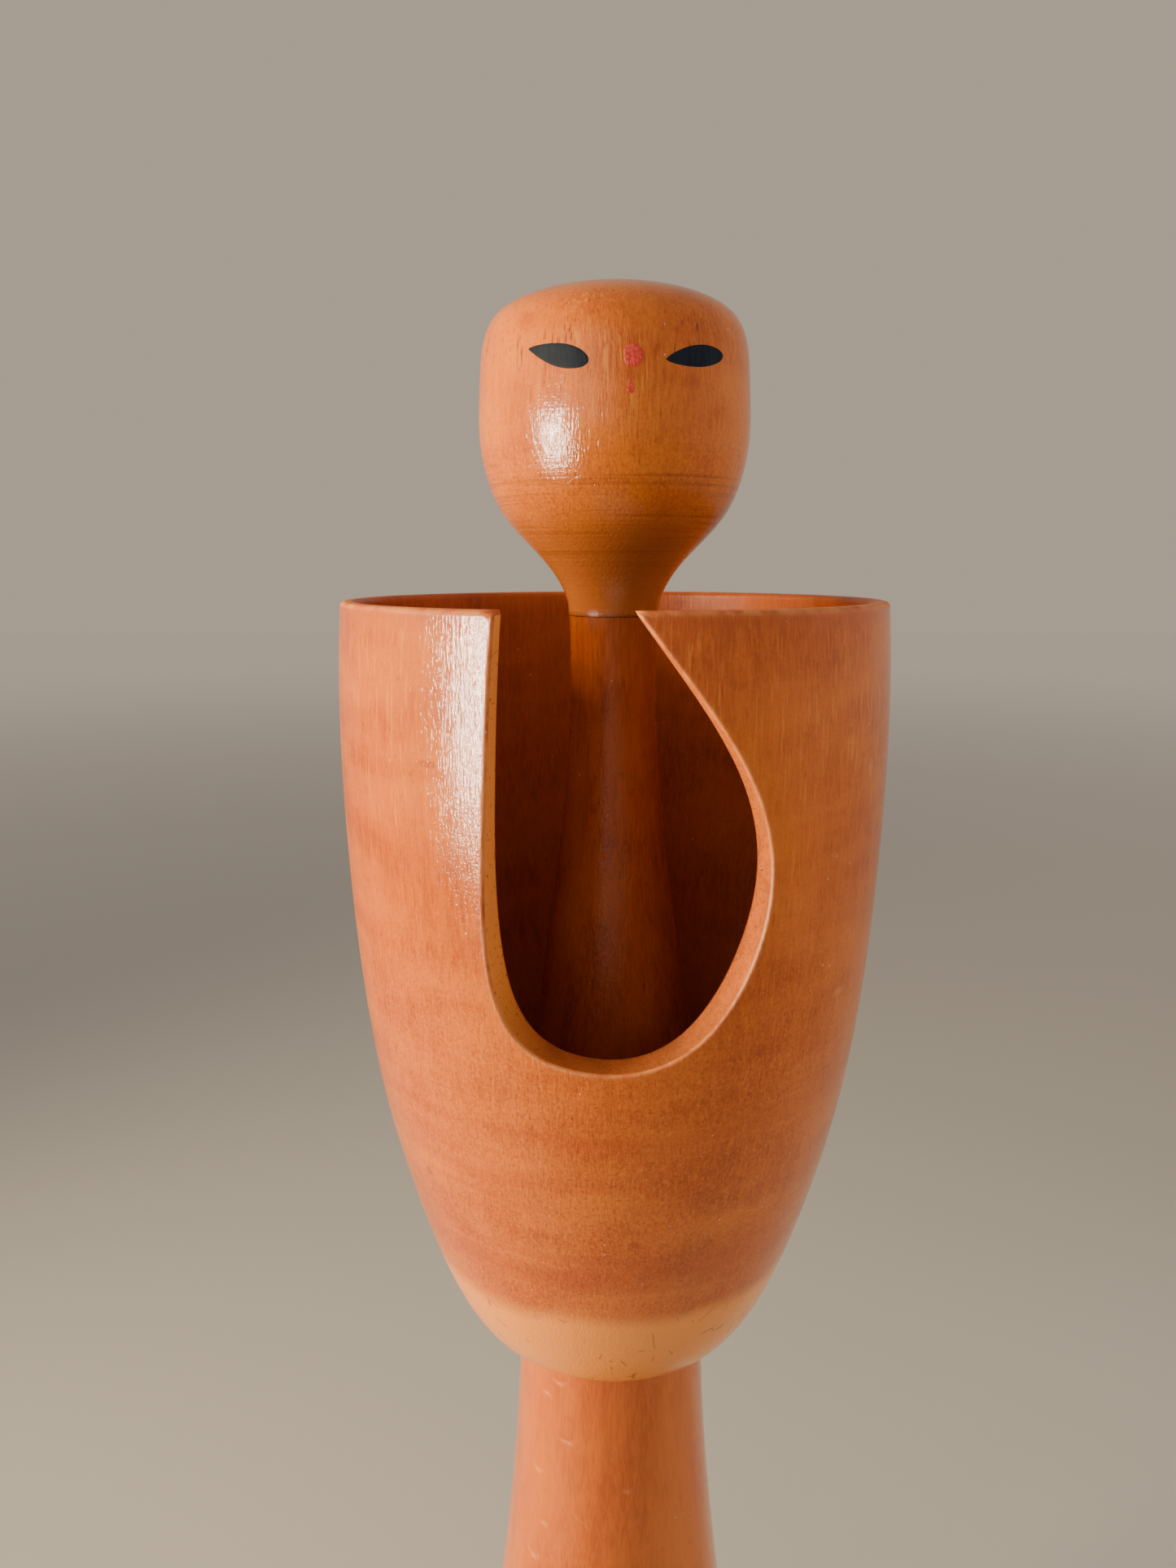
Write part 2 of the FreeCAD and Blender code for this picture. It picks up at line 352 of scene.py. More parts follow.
# Hand-rubbed stain: it took unevenly, in soft patches that are wider than they are tall.
STAIN, s_in, s_out = add_group(
    "uneven stain",
    [("Patch width", "f", 0.02), ("Patch height", "f", 0.008), ("Seed", "v", (0.0, 0.0, 0.0))],
    ["Patches", "Blots"])
t = STAIN
place = seeded(t, s_in)
parts = node(t, "SeparateXYZ", Vector=place)
wide = [math_node(t, "DIVIDE", parts.outputs[i], s_in.outputs["Patch width"]) for i in (0, 1)]
tall = math_node(t, "DIVIDE", parts.outputs[2], s_in.outputs["Patch height"])
patches = noise(t, node(t, "CombineXYZ", X=wide[0], Y=wide[1], Z=tall).outputs[0], 3.0, 0.55)
t.links.new(ramp_mask(t, patches, 0.30, 0.72), s_out.inputs["Patches"])
blots = noise(t, place, 2.0, 0.6, 420.0)
t.links.new(ramp_mask(t, blots, 0.64, 0.76), s_out.inputs["Blots"])

# Years on a shelf: hairline scratches, settled dust, and a haze where the gloss has dulled.
AGE, a_in, a_out = add_group(
    "shelf wear",
    [("Scratch amount", "f", 0.3), ("Dust amount", "f", 0.5), ("Seed", "v", (0.0, 0.0, 0.0))],
    ["Scratch", "Dust", "Haze"])
t = AGE
place = seeded(t, a_in)
bend = node(t, "TexNoise", Vector=place, Scale=90.0, Detail=1.0).outputs["Color"]
bent = node(t, "VectorMath", {"operation": "MULTIPLY_ADD"}, i0=bend, i1=(0.006, 0.006, 0.006),
            i2=place).outputs[0]
lines = node(t, "TexVoronoi", {"feature": "DISTANCE_TO_EDGE"}, Vector=bent, Scale=70.0)
hair = ramp_mask(t, lines.outputs["Distance"], 0.010, 0.003)
broken = ramp_mask(t, noise(t, place, 2.0, 0.5, 160.0), 0.64, 0.71)
scratch = times(t, hair, broken, a_in.outputs["Scratch amount"])
specks = node(t, "TexVoronoi", Vector=place, Scale=520.0).outputs["Distance"]
speck = ramp_mask(t, specks, 0.10, 0.05)
rare = ramp_mask(t, noise(t, place, 1.0, 0.5, 330.0), 0.62, 0.66)
dust = times(t, speck, rare, a_in.outputs["Dust amount"])
haze = noise(t, place, 3.0, 0.6, 75.0)
t.links.new(scratch, a_out.inputs["Scratch"])
t.links.new(dust, a_out.inputs["Dust"])
t.links.new(haze, a_out.inputs["Haze"])


def upright(tree):
    """Height above the floor in millimetres."""
    return times(tree, node(tree, "SeparateXYZ", Vector=here(tree)).outputs[2], 1000.0)


def by_height(tree, upper, lower, top, bottom):
    """An amount that goes from upper to lower between two heights in mm."""
    return node(tree, "MapRange", Value=upright(tree), From_Min=top, From_Max=bottom,
                To_Min=upper, To_Max=lower).outputs[0]


def emboss(tree, shader, strength, distance, height):
    """Relief too fine for the mesh."""
    bumped = node(tree, "Bump", Strength=strength, Distance=distance, Height=height)
    tree.links.new(bumped.outputs[0], shader.inputs["Normal"])


SCRATCHED = (0.85, 0.62, 0.45, 1.0)
DUSTY = (0.90, 0.80, 0.68, 1.0)


def lacquered(name, deep, main, light, pores, ring, worn, seed, patch, gloss, bump, scratch=0.0,
              speckle=(0.0, 0.0, 1.0, 0.0)):
    """Stained wood under lacquer, as (material, tree, shader, colour). The turning marks, the
    worn fibres and the speckle each go from one amount to another between two heights in mm."""
    material, tree, shader = new_material(name)
    grain = use_group(tree, GRAIN, Pore_amount=pores, Ring_amount=by_height(tree, *ring), Seed=seed)
    stain = use_group(tree, STAIN, Patch_width=patch[0], Patch_height=patch[1], Seed=seed)
    age = use_group(tree, AGE, Scratch_amount=scratch, Dust_amount=0.4, Seed=seed)
    tone = ramp_mask(tree, grain.outputs["Streaks"], 0.41, 0.59)
    colour = mix(tree, tone, deep + (1.0,), main + (1.0,))
    lift = times(tree, stain.outputs["Patches"], 0.75)
    colour = mix(tree, lift, colour, light + (1.0,))
    rubbed = tuple(min(0.90, c * f) for c, f in zip(light, (1.12, 1.40, 1.8))) + (1.0,)
    dark = tuple(c * 0.42 for c in deep) + (1.0,)
    colour = mix(tree, times(tree, grain.outputs["Worn"], by_height(tree, *worn)), colour, rubbed)
    amount = by_height(tree, *speckle)
    for low, high, grains in ((0.54, 0.66, rubbed), (0.46, 0.34, dark)):
        speckled = times(tree, ramp_mask(tree, grain.outputs["Grains"], low, high), amount)
        colour = mix(tree, speckled, colour, grains)
    colour = mix(tree, times(tree, stain.outputs["Blots"], 0.22), colour, dark)
    colour = mix(tree, math_node(tree, "ABSOLUTE", grain.outputs["Rings"]), colour, dark)
    colour = mix(tree, grain.outputs["Fleck"], colour, dark)
    colour = mix(tree, times(tree, age.outputs["Scratch"], 0.6), colour, SCRATCHED)
    colour = mix(tree, age.outputs["Dust"], colour, DUSTY)
    tree.links.new(colour, shader.inputs["Base Color"])
    smoothest, dullest = gloss
    rough = node(tree, "MapRange", Value=age.outputs["Haze"], From_Min=0.3, From_Max=0.7,
                 To_Min=smoothest, To_Max=dullest).outputs[0]
    rough = plus(tree, rough, times(tree, age.outputs["Scratch"], 0.2))
    tree.links.new(rough, shader.inputs["Roughness"])
    relief = math_node(tree, "SUBTRACT", grain.outputs["Height"],
                       times(tree, age.outputs["Scratch"], 0.5))
    relief = plus(tree, relief, times(tree, age.outputs["Dust"], 0.5))
    emboss(tree, shader, bump, 0.00028, relief)
    shader.inputs["Specular IOR Level"].default_value = 0.58
    return material, tree, shader, colour


def spot(tree, bearing, radius, height, across, tall):
    """A soft ragged mark on a round piece: 1 at a bearing (degrees) and height, sizes in mm."""
    a = math.radians(bearing)
    centre = (radius * MM * math.sin(a), -radius * MM * math.cos(a), height * MM)
    place = here(tree)
    away = node(tree, "VectorMath", {"operation": "SUBTRACT"}, i0=place, i1=centre).outputs[0]
    shape = (1.0 / (across * MM), 1.0 / (across * MM), 1.0 / (tall * MM))
    away = node(tree, "VectorMath", {"operation": "MULTIPLY"}, i0=away, i1=shape).outputs[0]
    reach = node(tree, "VectorMath", {"operation": "LENGTH"}, i0=away).outputs["Value"]
    ragged = plus(tree, reach, noise(tree, place, 3.0, 0.7, 900.0))
    return ramp_mask(tree, ragged, 1.55, 0.75)


def marked(tree, colour, marks, strength, stain):
    """The colour with soft marks over it, each (bearing, radius, height, across, tall)."""
    for mark in marks:
        colour = mix(tree, times(tree, spot(tree, *mark), strength), colour, stain)
    return colour


head_stain, tree, shader, colour = lacquered(
    "head wood, honey stain", deep=(0.44, 0.078, 0.005), main=(0.63, 0.138, 0.008),
    light=(0.74, 0.195, 0.012), pores=0.45, ring=(0.10, 0.85, 288.0, 268.0),
    worn=(0.55, 0.05, 290.0, 276.0), seed=(0.11, 0.02, 0.0),
    patch=(0.016, 0.012), gloss=(0.09, 0.16), bump=0.48, speckle=(0.12, 0.42, 292.0, 272.0))
z = upright(tree)
place = here(tree)
# The stain is browner where the tool cut across the fibres under the jaw, with fine turning lines.
jaw = times(tree, ramp_mask(tree, z, 281.0, 268.0), 0.80)
colour = mix(tree, jaw, colour, (0.31, 0.096, 0.026, 1.0))
lines = noise(tree, stretched(tree, place, 0.030, 0.00042), 2.0, 0.6)
lines = times(tree, ramp_mask(tree, lines, 0.46, 0.70), ramp_mask(tree, z, 286.0, 275.0),
              ramp_mask(tree, z, 262.0, 271.0))
colour = mix(tree, times(tree, lines, 0.42), colour, (0.13, 0.028, 0.005, 1.0))
# Longer open pores across the brow show as dark dashes.
dashes = noise(tree, stretched(tree, place, 0.00036, 0.0044), 1.0, 0.5)
brow = times(tree, ramp_mask(tree, z, 291.0, 295.0), ramp_mask(tree, z, 300.5, 297.5),
             ramp_mask(tree, noise(tree, place, 1.0, 0.5, 150.0), 0.49, 0.60))
dashes = times(tree, ramp_mask(tree, dashes, 0.62, 0.68), brow, 0.85)
colour = mix(tree, dashes, colour, (0.16, 0.030, 0.008, 1.0))
BROW_BLOTS = ((-40.0, 18.6, 298.5, 2.6, 2.2), (-22.0, 16.0, 300.5, 2.0, 0.9),
              (24.0, 20.0, 297.0, 1.1, 0.8), (30.0, 20.0, 290.2, 2.2, 1.4))
colour = marked(tree, colour, BROW_BLOTS, 0.45, (0.40, 0.058, 0.008, 1.0))
# Painted shade: the neck is darkened where it meets the column, dulling the bright edge of the seam.
painted_seam_shade = times(tree, ramp_mask(tree, z, 258.9, 258.2), 0.60)
colour = mix(tree, painted_seam_shade, colour, (0.12, 0.030, 0.007, 1.0))
tree.links.new(colour, shader.inputs["Base Color"])

head_line = lathe_curve([(0.0, HEAD_TOP), (4.3 * MM, HEAD_TOP), (8.5 * MM, 305.6 * MM),
                         (19.9 * MM, 302.6 * MM), (20.1 * MM, 291.8 * MM), (20.8 * MM, 283.2 * MM),
                         (17.8 * MM, 272.7 * MM), (10.8 * MM, 267.1 * MM), (6.8 * MM, 261.1 * MM),
                         (7.0 * MM, NECK_FACE)])
foot_edge = [(6.9 * MM, NECK_FACE), (PEG_RADIUS, NECK_FACE), (PEG_RADIUS, PEG_TOP), (0.0, PEG_TOP)]
head = new_piece("turned_head", *turned(list(head_line) + foot_edge), [head_stain], "head", "head_wood")
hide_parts("head")


def radius_at(line, height):
    """The radius of a turned outline at a height."""
    order = np.argsort(line[:, 1])
    return np.interp(height, line[order, 1], line[order, 0])


# Painted marks. Two leaf-shaped eyes in blue-black and a red mark with a small drop under it,
# brushed straight on the lacquer: each is a thin film that follows the head's surface.
BRUSH_RADIUS = 20.0 * MM     # the marks' sideways places are measured round this radius
PAINT = 0.05 * MM            # how thick the paint lies
SINK = 0.04 * MM             # how far its back lies inside the wood


def film(name, edge, material):
    """A closed film of paint over the head: edge is (sideways, height) points round the mark."""
    edge = [tuple(p) for p in edge]
    if np.linalg.norm(np.subtract(edge[0], edge[-1])) < WELD:
        edge = edge[:-1]
    count = len(edge)
    middle = np.mean(edge, axis=0)
    rings = [[tuple(middle + (np.array(p) - middle) * s) for p in edge]
             for s in (1.0, 0.97, 0.9, 0.7, 0.45, 0.2)]
    vertices, faces = [], []

    def put(side, height, lift):
        a = side / BRUSH_RADIUS
        r = radius_at(head_line, height) + lift
        vertices.append((r * math.sin(a), -r * math.cos(a), height))
        return len(vertices) - 1

    tops = [[put(s, h, PAINT * k) for s, h in ring]
            for ring, k in zip(rings, (0.45, 0.9, 1.0, 1.0, 1.0, 1.0))]
    skirt = [put(s, h, -SINK) for s, h in rings[0]]
    for outer, inner in zip([skirt] + tops, tops):
        for k in range(count):
            faces.append([outer[k], outer[(k + 1) % count], inner[(k + 1) % count], inner[k]])
    crown = put(middle[0], middle[1], PAINT)
    back = put(middle[0], middle[1], -SINK)
    for k in range(count):
        faces.append([tops[-1][k], tops[-1][(k + 1) % count], crown])
        faces.append([skirt[(k + 1) % count], skirt[k], back])
    return new_piece(name, vertices, faces, [material], "head", "head_wood")


eye_paint, tree, shader = new_material("blue-black eye paint")
grain = use_group(tree, GRAIN, Pore_amount=0.3, Ring_amount=0.0, Seed=(0.11, 0.02, 0.0))
tone = ramp_mask(tree, grain.outputs["Streaks"], 0.35, 0.65)
tree.links.new(mix(tree, tone, (0.008, 0.012, 0.022, 1.0), (0.016, 0.024, 0.040, 1.0)),
               shader.inputs["Base Color"])
shader.inputs["Roughness"].default_value = 0.50
shader.inputs["Specular IOR Level"].default_value = 0.08
emboss(tree, shader, 0.3, 0.0001, grain.outputs["Height"])

red_paint, tree, shader = new_material("worn red paint")
patchy = ramp_mask(tree, noise(tree, here(tree), 3.0, 0.6, 2200.0), 0.40, 0.62)
tree.links.new(mix(tree, patchy, (0.60, 0.018, 0.014, 1.0), (0.74, 0.075, 0.040, 1.0)),
               shader.inputs["Base Color"])
shader.inputs["Roughness"].default_value = 0.45
emboss(tree, shader, 0.5, 0.00008, patchy)

# Points round each mark are (sideways, height) in mm.
left_eye = [(-13.0, 294.7), (-12.7, 294.6), (-8.9, 291.3), (-2.2, 291.9), (-6.3, 296.0),
            (-13.5, 295.0), (-13.0, 294.7)]
right_eye = [(6.5, 293.0), (7.1, 293.7), (11.6, 296.1), (18.6, 294.5), (12.3, 291.7),
             (7.0, 292.5), (6.5, 293.0)]
film("left_eye", lathe_curve(np.array(left_eye) * MM, 0.25 * MM), eye_paint)
film("right_eye", lathe_curve(np.array(right_eye) * MM, 0.25 * MM), eye_paint)

MARK_MIDDLE = (2.04, 293.4)
MARK_HALF = (1.30, 1.50)
MARK_POINTS = 64
chance = random.Random(7)
ragged = []
for k in range(MARK_POINTS):
    a = 2.0 * math.pi * k / MARK_POINTS
    swell = 1.0 + 0.05 * math.sin(5.0 * a + 1.0) + chance.uniform(-0.035, 0.035)
    ragged.append(((MARK_MIDDLE[0] + MARK_HALF[0] * swell * math.cos(a)) * MM,
                   (MARK_MIDDLE[1] + MARK_HALF[1] * swell * math.sin(a)) * MM))
film("brow_mark", ragged, red_paint)
drop = [(1.55, 290.45), (1.75, 290.0), (2.30, 289.3), (1.95, 288.3), (1.05, 288.6),
        (1.25, 289.7), (1.55, 290.45)]
film("small_drop", lathe_curve(np.array(drop) * MM, 0.15 * MM), red_paint)

# ---------------------------------------------------------------------------
# Dowels. A bare pale peg is glued up into the head, and its lower half turns in
# the column; a longer one is glued up through pedestal, cup and column. Both are
# hidden unless the doll is taken apart.
bare_wood, tree, shader = new_material("bare dowel wood")
grain = use_group(tree, GRAIN, Pore_amount=0.5, Ring_amount=0.1, Seed=(0.3, 0.1, 0.2))
tone = ramp_mask(tree, grain.outputs["Streaks"], 0.36, 0.62)
tree.links.new(mix(tree, tone, (0.50, 0.33, 0.18, 1.0), (0.70, 0.52, 0.33, 1.0)),
               shader.inputs["Base Color"])
shader.inputs["Roughness"].default_value = 0.7
emboss(tree, shader, 0.4, 0.0001, grain.outputs["Height"])
for name in ("neck_dowel", "centre_dowel"):
    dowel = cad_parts[name]
    dowel.data.materials.clear()
    dowel.data.materials.append(bare_wood)

# ---------------------------------------------------------------------------
# Inner column. A slender spindle that flares down to the cup's floor, where it
# is glued on the centre dowel; stained redder than the head, satin lacquered.
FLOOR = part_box("inner_column")[0].z
COLUMN_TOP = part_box("inner_column")[1].z
BORE = PEG_RADIUS + 0.05 * MM
BORE_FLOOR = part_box("neck_dowel")[0].z - 2.0 * MM    # air under the dowel's end
CORE_RADIUS = 5.0 * MM
CORE_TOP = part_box("centre_dowel")[1].z

column_stain, tree, shader, colour = lacquered(
    "column wood, red-brown stain", deep=(0.25, 0.038, 0.005), main=(0.41, 0.075, 0.009),
    light=(0.50, 0.110, 0.014), pores=0.35, ring=(0.35, 0.08, 258.0, 246.0),
    worn=(0.35, 0.35, 258.0, 150.0), seed=(0.31, 0.07, 0.04),
    patch=(0.010, 0.020), gloss=(0.20, 0.32), bump=0.5)
shader.inputs["Specular IOR Level"].default_value = 0.45
# Painted shade: the column is darkened towards its top, where it meets the neck.
painted_seam_shade = times(tree, ramp_mask(tree, upright(tree), 251.0, 258.0), 0.40)
tree.links.new(mix(tree, painted_seam_shade, colour, (0.14, 0.034, 0.008, 1.0)), shader.inputs["Base Color"])
column_line = lathe_curve([(6.9 * MM, COLUMN_TOP), (6.2 * MM, 246.0 * MM), (8.0 * MM, 222.0 * MM),
                           (13.5 * MM, 186.0 * MM), (16.7 * MM, 162.0 * MM), (18.3 * MM, FLOOR)])
outline = ([(0.0, BORE_FLOOR), (BORE, BORE_FLOOR), (BORE, COLUMN_TOP), (6.8 * MM, COLUMN_TOP)]
           + list(column_line) + [(CORE_RADIUS, FLOOR), (CORE_RADIUS, CORE_TOP), (0.0, CORE_TOP)])
column = new_piece("turned_column", *turned(outline, 200), [column_stain], "stand", "column_wood")
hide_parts("inner_column")

# ---------------------------------------------------------------------------
# Robe cup. A thin-walled goblet turned hollow from one block, sawn and sanded through
# its wall for the open collar, and glued on the centre dowel. Orange stain and lacquer
# outside, left pale round the foot; the cut faces are bare, sandy and matt.
RIM = 260.5 * MM
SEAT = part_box("robe_cup")[0].z
RIM_ROUND = 0.8 * MM
COLLAR_ROUND = 0.45 * MM
BAND_FOOT = 188.0 * MM
UNROLL = 42.0 * MM           # the wall is laid out flat round this radius
DRAWING_REACH = 60.0 * MM    # the collar is drawn flat, this far in front of the axis
COLUMNS = 240
CUT_STEPS = 8                # rows of faces across the wall's thickness
SAND = 0.025 * MM            # how far the sanded cut wanders
LIP = 0.5 * MM               # the rim's stain ends this far down the cut
TOUCH = 0.01 * MM            # nearer than this counts as touching
CLEAR = 1.7 * MM             # the even grid keeps this far from the graded rows on the edge

outer_line = lathe_curve([(41.7 * MM, RIM - RIM_ROUND), (42.5 * MM, 249.0 * MM), (42.5 * MM, 229.0 * MM),
                          (40.0 * MM, 193.0 * MM), (33.9 * MM, 165.0 * MM), (23.6 * MM, SEAT),
                          (16.5 * MM, SEAT)])
inner_line = lathe_curve([(39.2 * MM, RIM - RIM_ROUND), (39.4 * MM, 250.0 * MM), (39.8 * MM, 234.0 * MM),
                          (34.4 * MM, 200.0 * MM), (32.0 * MM, 182.0 * MM), (22.8 * MM, FLOOR),
                          (18.6 * MM, FLOOR)])
collar = [(-24.1, 262.0), (-25.6, 250.5), (-25.8, 239.5), (-30.9, 205.2), (-7.7, 198.6),
          (18.6, 200.7), (39.0, 225.0), (21.5, 244.5), (8.2, 255.2), (0.9, 262.0)]
collar = lathe_curve(np.array(collar) * MM, 0.2 * MM)
collar = np.stack([np.arctan2(collar[:, 0], DRAWING_REACH) * UNROLL, collar[:, 1]], axis=1)
collar = evenly(collar[collar[:, 1] < RIM], 0.6 * MM)
collar[0, 1] = collar[-1, 1] = RIM


def to_line(points, line):
    """Distance from each point to a line of points, measured on the flat layout."""
    a, b = line[:-1], line[1:]
    ab = b - a
    best = np.full(len(points), 1.0)
    for i in range(len(a)):
        along = np.clip(((points - a[i]) @ ab[i]) / (ab[i] @ ab[i]), 0.0, 1.0)
        best = np.minimum(best, np.linalg.norm(points - a[i] - along[:, None] * ab[i], axis=1))
    return best


half = math.pi * UNROLL
side_step = 2.0 * half / COLUMNS
columns = -half + side_step * np.arange(COLUMNS + 1)
rows = np.linspace(BAND_FOOT, RIM, 50)
rim_left = [(x, RIM) for x in columns if x < collar[0, 0] - 0.4 * side_step]
rim_right = [(x, RIM) for x in columns if x > collar[-1, 0] + 0.4 * side_step]
loop = [(x, BAND_FOOT) for x in columns]
loop += [(half, y) for y in rows[1:-1]] + rim_right[::-1]
loop += [tuple(p) for p in collar[::-1]] + rim_left[::-1] + [(-half, y) for y in rows[-2:0:-1]]
edge_line = np.array(rim_left + [tuple(p) for p in collar] + rim_right)


def inside_opening(points):
    """True where a point lies within the collar's opening."""
    ring = np.concatenate([collar, [[collar[-1, 0], RIM + 0.01], [collar[0, 0], RIM + 0.01]]])
    x, y = points[:, 0], points[:, 1]
    odd = np.zeros(len(points), bool)
    for (x0, y0), (x1, y1) in zip(ring, np.roll(ring, -1, axis=0)):
        crosses = (y0 > y) != (y1 > y)
        odd ^= crosses & (x < (x1 - x0) * (y - y0) / (y1 - y0 + 1e-15) + x0)
    return odd


normals = np.zeros_like(edge_line)
tangent = np.gradient(edge_line, axis=0)
tangent /= np.linalg.norm(tangent, axis=1)[:, None]
normals[:, 0], normals[:, 1] = tangent[:, 1], -tangent[:, 0]
inset_rows = []
for depth in (0.12, 0.26, 0.42, 0.62, 0.85, 1.15):
    row = edge_line + normals * depth * MM
    keep = (to_line(row, edge_line) > 0.96 * depth * MM) & (np.abs(row[:, 0]) < half - 0.3 * side_step)
    inset_rows.append(row[keep])
grid = np.array([(x, y) for x in columns[1:-1] for y in rows[1:-1]])
keep = (to_line(grid, edge_line) > CLEAR) & ~inside_opening(grid)
free = np.concatenate(inset_rows + [grid[keep]])
free = free[~inside_opening(free)]
flat = np.concatenate([np.array(loop), free])
solved = delaunay_2d_cdt([Vector(p) for p in flat * 1000.0], [], [list(range(len(loop)))], 1, 1e-7)
flat_points = np.array([(p.x, p.y) for p in solved[0]]) / 1000.0
triangles = [list(f) for f in solved[2]]

near_collar = to_line(flat_points, collar)
near_rim = RIM - flat_points[:, 1]


def rounding(distance, radius):
    """How far a rounded edge falls away from the wall at this distance from it."""
    d = np.clip(radius - distance, 0.0, radius)
    return radius - np.sqrt(np.maximum(radius * radius - d * d, 0.0))


fall = np.maximum(rounding(near_collar, COLLAR_ROUND), rounding(near_rim, RIM_ROUND))
bearing = flat_points[:, 0] / UNROLL


def on_wall(radius, bearing, height):
    return np.stack([radius * np.sin(bearing), -radius * np.cos(bearing), height], axis=1)


outside = on_wall(radius_at(outer_line, flat_points[:, 1]) - fall, bearing, flat_points[:, 1])
inside = on_wall(radius_at(inner_line, flat_points[:, 1]) + fall, bearing, flat_points[:, 1])
vertices = [tuple(v) for v in outside] + [tuple(v) for v in inside]
shift = len(outside)
wall_faces = triangles + [[c + shift for c in reversed(f)] for f in triangles]


def nearest_micron(point):
    """A flat point in whole micrometres, to look it up by."""
    return tuple(np.round(point * 1e6).astype(int))


# The cut faces and the top of the rim join the two skins along the open edge.
lookup = {nearest_micron(p): i for i, p in enumerate(flat_points)}
edge_ids = [lookup[nearest_micron(p)] for p in edge_line]
cut_rows = [edge_ids]
cut_faces = []
sand = random.Random(3)
for s in range(1, CUT_STEPS):
    row = []
    for i in edge_ids:
        a, b = np.array(vertices[i]), np.array(vertices[i + shift])
        p = a + (b - a) * s / CUT_STEPS
        if near_collar[i] < TOUCH and near_rim[i] > LIP:
            p = p + np.array([0.0, 0.0, sand.uniform(-SAND, SAND)])
        row.append(len(vertices))
        vertices.append(tuple(p))
    cut_rows.append(row)
cut_rows.append([i + shift for i in edge_ids])
for upper, lower in zip(cut_rows, cut_rows[1:]):
    for k in range(len(edge_ids) - 1):
        cut_faces.append([upper[k], upper[k + 1], lower[k + 1], lower[k]])

# Below the band the cup is plain turned work: outside, seat, dowel hole, floor and inside.
outer_low = [tuple(p) for p in outer_line if p[1] < BAND_FOOT - 0.1 * MM]
inner_low = [tuple(p) for p in inner_line if p[1] < BAND_FOOT - 0.1 * MM]
profile = ([(float(radius_at(outer_line, BAND_FOOT)), BAND_FOOT)] + outer_low
           + [(CORE_RADIUS, SEAT), (CORE_RADIUS, FLOOR)] + inner_low[::-1]
           + [(float(radius_at(inner_line, BAND_FOOT)), BAND_FOOT)])
low_vertices, low_faces = turned(profile, COLUMNS)
base = len(vertices)
vertices += low_vertices
low_faces = [[c + base for c in f] for f in low_faces]

cup_stain, tree, shader, colour = lacquered(
    "cup wood, orange stain", deep=(0.40, 0.066, 0.005), main=(0.57, 0.114, 0.007),
    light=(0.70, 0.168, 0.011), pores=0.22, ring=(0.12, 0.30, 230.0, 190.0),
    worn=(0.50, 0.04, 238.0, 208.0), seed=(0.53, 0.21, 0.0),
    patch=(0.026, 0.008), gloss=(0.09, 0.16), bump=0.48, speckle=(0.12, 0.38, 225.0, 200.0))
z = upright(tree)
place = here(tree)
wander = times(tree, noise(tree, place, 2.0, 0.5, 60.0), 5.0)
# A redder lip, broad turned bands low on the wall, and the foot that the stain didn't reach.
redder = ramp_mask(tree, plus(tree, z, times(tree, wander, 0.4)), 257.5, 261.0)
colour = mix(tree, times(tree, redder, 0.55), colour, (0.44, 0.075, 0.012, 1.0))
bands = noise(tree, stretched(tree, place, 0.060, 0.0042), 2.0, 0.55)
bands = times(tree, ramp_mask(tree, bands, 0.50, 0.66), ramp_mask(tree, z, 212.0, 190.0))
colour = mix(tree, times(tree, bands, 0.28), colour, (0.40, 0.055, 0.006, 1.0))
pale = ramp_mask(tree, plus(tree, z, wander), 161.5, 157.0)
colour = mix(tree, times(tree, pale, 0.92), colour, (0.95, 0.315, 0.044, 1.0))
# Hair cracks in the pale foot, blots where the stain ran, and scuffs from handling.
cracks = node(tree, "TexVoronoi", {"feature": "DISTANCE_TO_EDGE"},
              Vector=stretched(tree, place, 0.0045, 0.0060), Scale=1.0).outputs["Distance"]
broken = noise(tree, place, 2.0, 0.6, 300.0)
cracks = times(tree, ramp_mask(tree, cracks, 0.035, 0.010), ramp_mask(tree, broken, 0.56, 0.62), pale)
colour = mix(tree, times(tree, cracks, 0.55), colour, (0.20, 0.055, 0.015, 1.0))
CUP_BLOTS = ((12.8, 38.0, 179.5, 1.1, 1.1), (4.3, 35.0, 172.0, 1.2, 0.9),
             (-33.7, 38.0, 180.3, 1.5, 1.2), (-49.7, 36.5, 176.8, 1.5, 1.1),
             (-36.0, 42.0, 240.5, 2.6, 0.7))
colour = marked(tree, colour, CUP_BLOTS, 0.6, (0.30, 0.035, 0.006, 1.0))
CUP_SCUFFS = ((51.0, 41.5, 206.0, 2.2, 0.9), (-33.0, 42.3, 235.0, 0.6, 2.2),
              (-30.0, 42.3, 248.5, 1.6, 0.4), (57.0, 42.2, 238.0, 1.2, 2.0))
colour = marked(tree, colour, CUP_SCUFFS, 0.30, (0.86, 0.36, 0.10, 1.0))
# Handling has rubbed the edges of the collar and rim paler and duller.
worn = node(tree, "Attribute", {"attribute_name": "worn_edge"}).outputs["Fac"]
rubbed = times(tree, worn, ramp_mask(tree, broken, 0.30, 0.60), 0.60)
colour = mix(tree, rubbed, colour, (0.82, 0.30, 0.080, 1.0))
tree.links.new(colour, shader.inputs["Base Color"])
rough = plus(tree, shader.inputs["Roughness"].links[0].from_socket, times(tree, worn, 0.45))
tree.links.new(rough, shader.inputs["Roughness"])

inside_stain, tree, shader, colour = lacquered(
    "cup inside, red-brown stain", deep=(0.30, 0.050, 0.005), main=(0.44, 0.085, 0.009),
    light=(0.50, 0.105, 0.012), pores=0.3, ring=(0.30, 0.30, 260.0, 150.0),
    worn=(0.15, 0.15, 260.0, 150.0), seed=(0.13, 0.41, 0.0),
    patch=(0.020, 0.010), gloss=(0.34, 0.50), bump=0.4)
shader.inputs["Specular IOR Level"].default_value = 0.40

